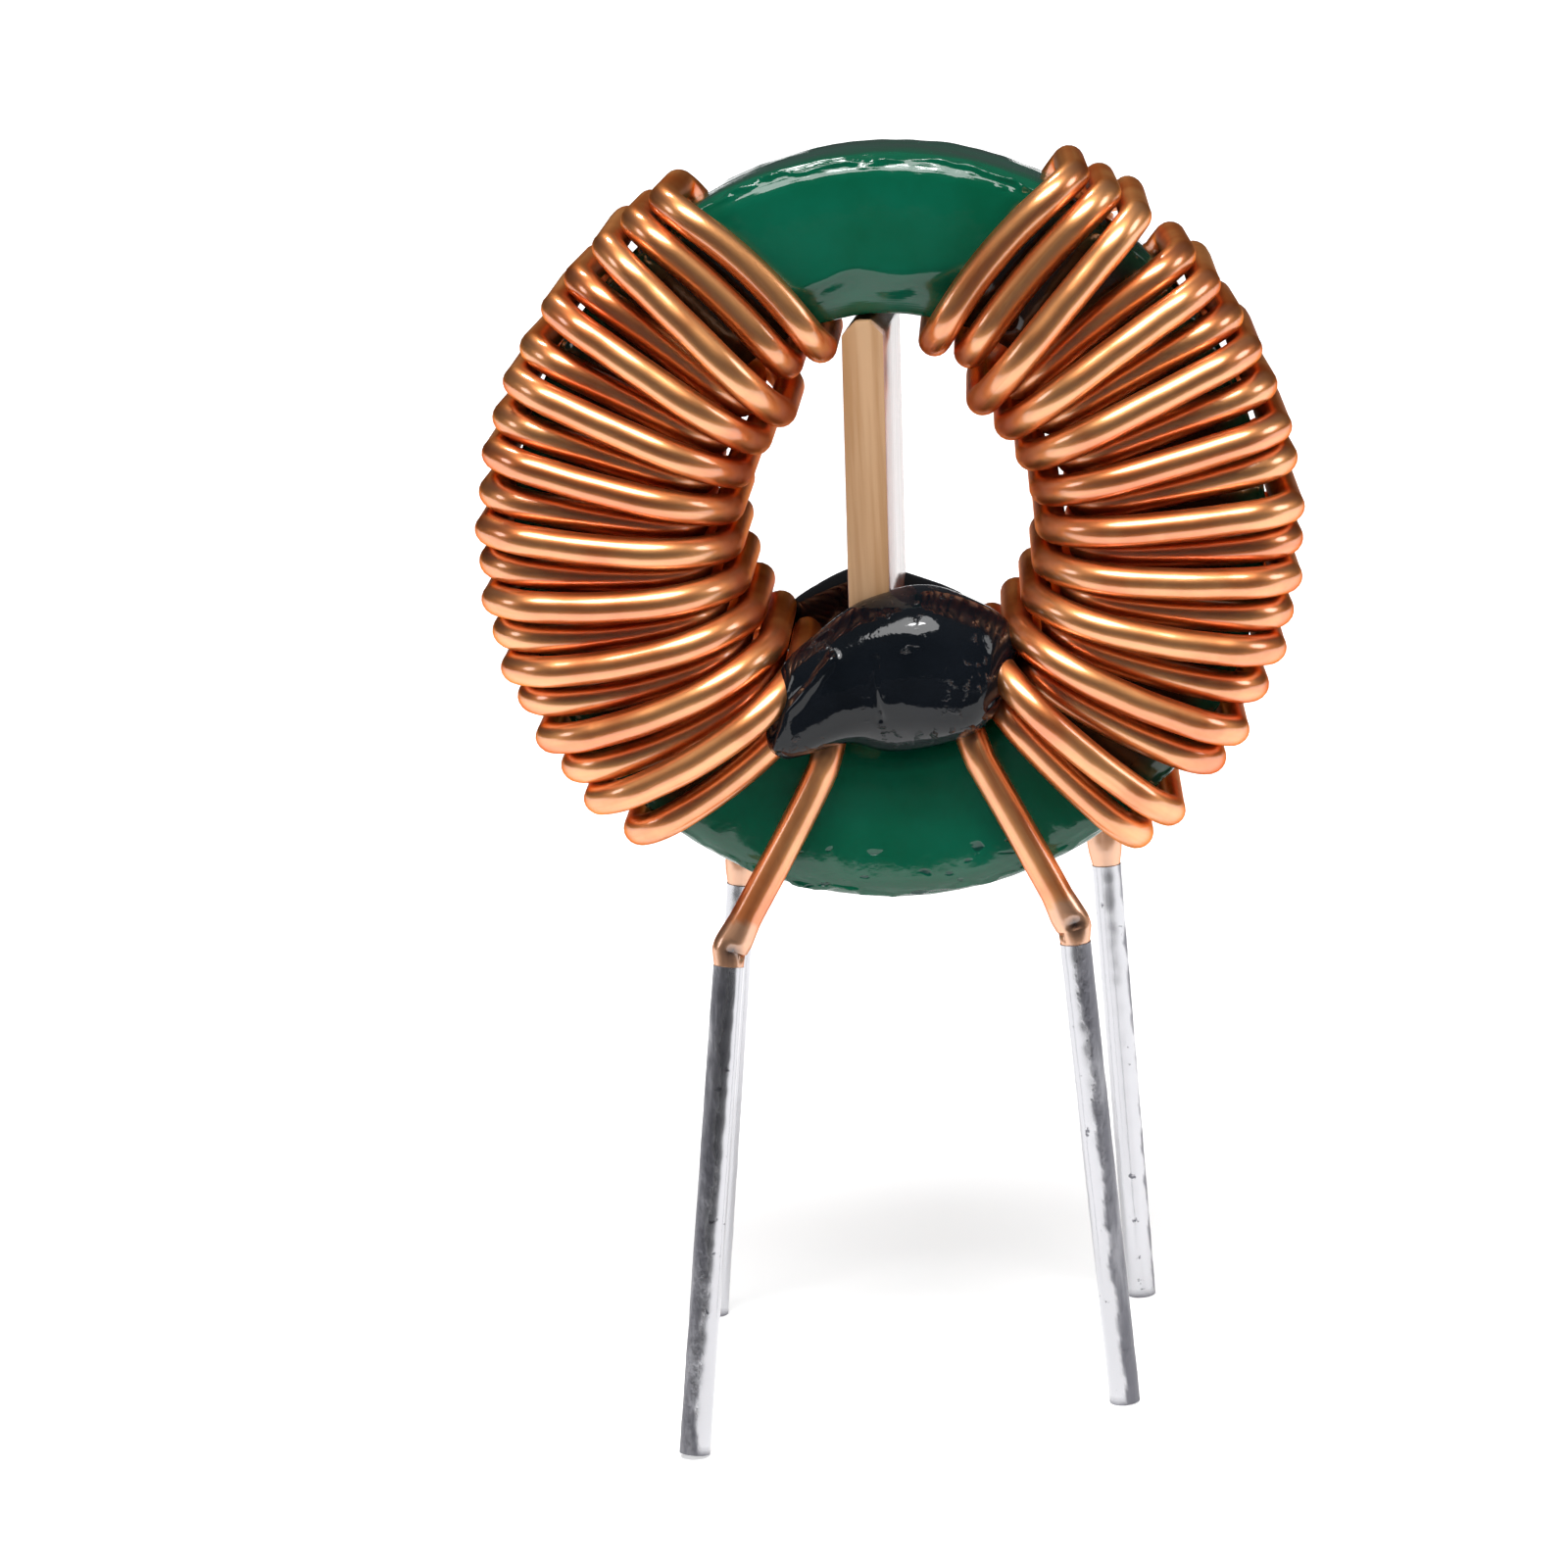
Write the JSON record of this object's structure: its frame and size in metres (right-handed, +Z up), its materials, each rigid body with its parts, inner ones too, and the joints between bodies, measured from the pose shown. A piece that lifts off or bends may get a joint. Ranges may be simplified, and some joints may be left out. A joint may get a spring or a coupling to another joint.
{
  "type": "toroidal inductor",
  "caption": "Upright toroidal inductor: a green coated ring core wound with two coils of thick copper wire, kept apart by a divider board, with tinned wire legs.",
  "frame": {"origin": "on the plane of the leg tips, straight below the middle of the ring", "axes": "+Z up, Y along the ring's axis with the front legs towards -Y, X to the right as seen from the front"},
  "size_m": [0.028, 0.016, 0.0432],
  "materials": {
    "ferrite": "matte sintered",
    "coating": "glossy dipped epoxy",
    "enamelled_wire": "clear enamel over copper",
    "fibreboard": "matte pressed fibre",
    "glue": "glossy poured epoxy",
    "tin": "bright dipped solder"
  },
  "bodies": {
    "root": {"ferrite_core": "ferrite", "epoxy_coating": "coating", "left_winding": "enamelled_wire", "right_winding": "enamelled_wire", "divider_board": "fibreboard", "epoxy_glue": "glue", "tin_front_left": "tin", "tin_front_right": "tin", "tin_back_left": "tin", "tin_back_right": "tin"}
  },
  "joints": []
}
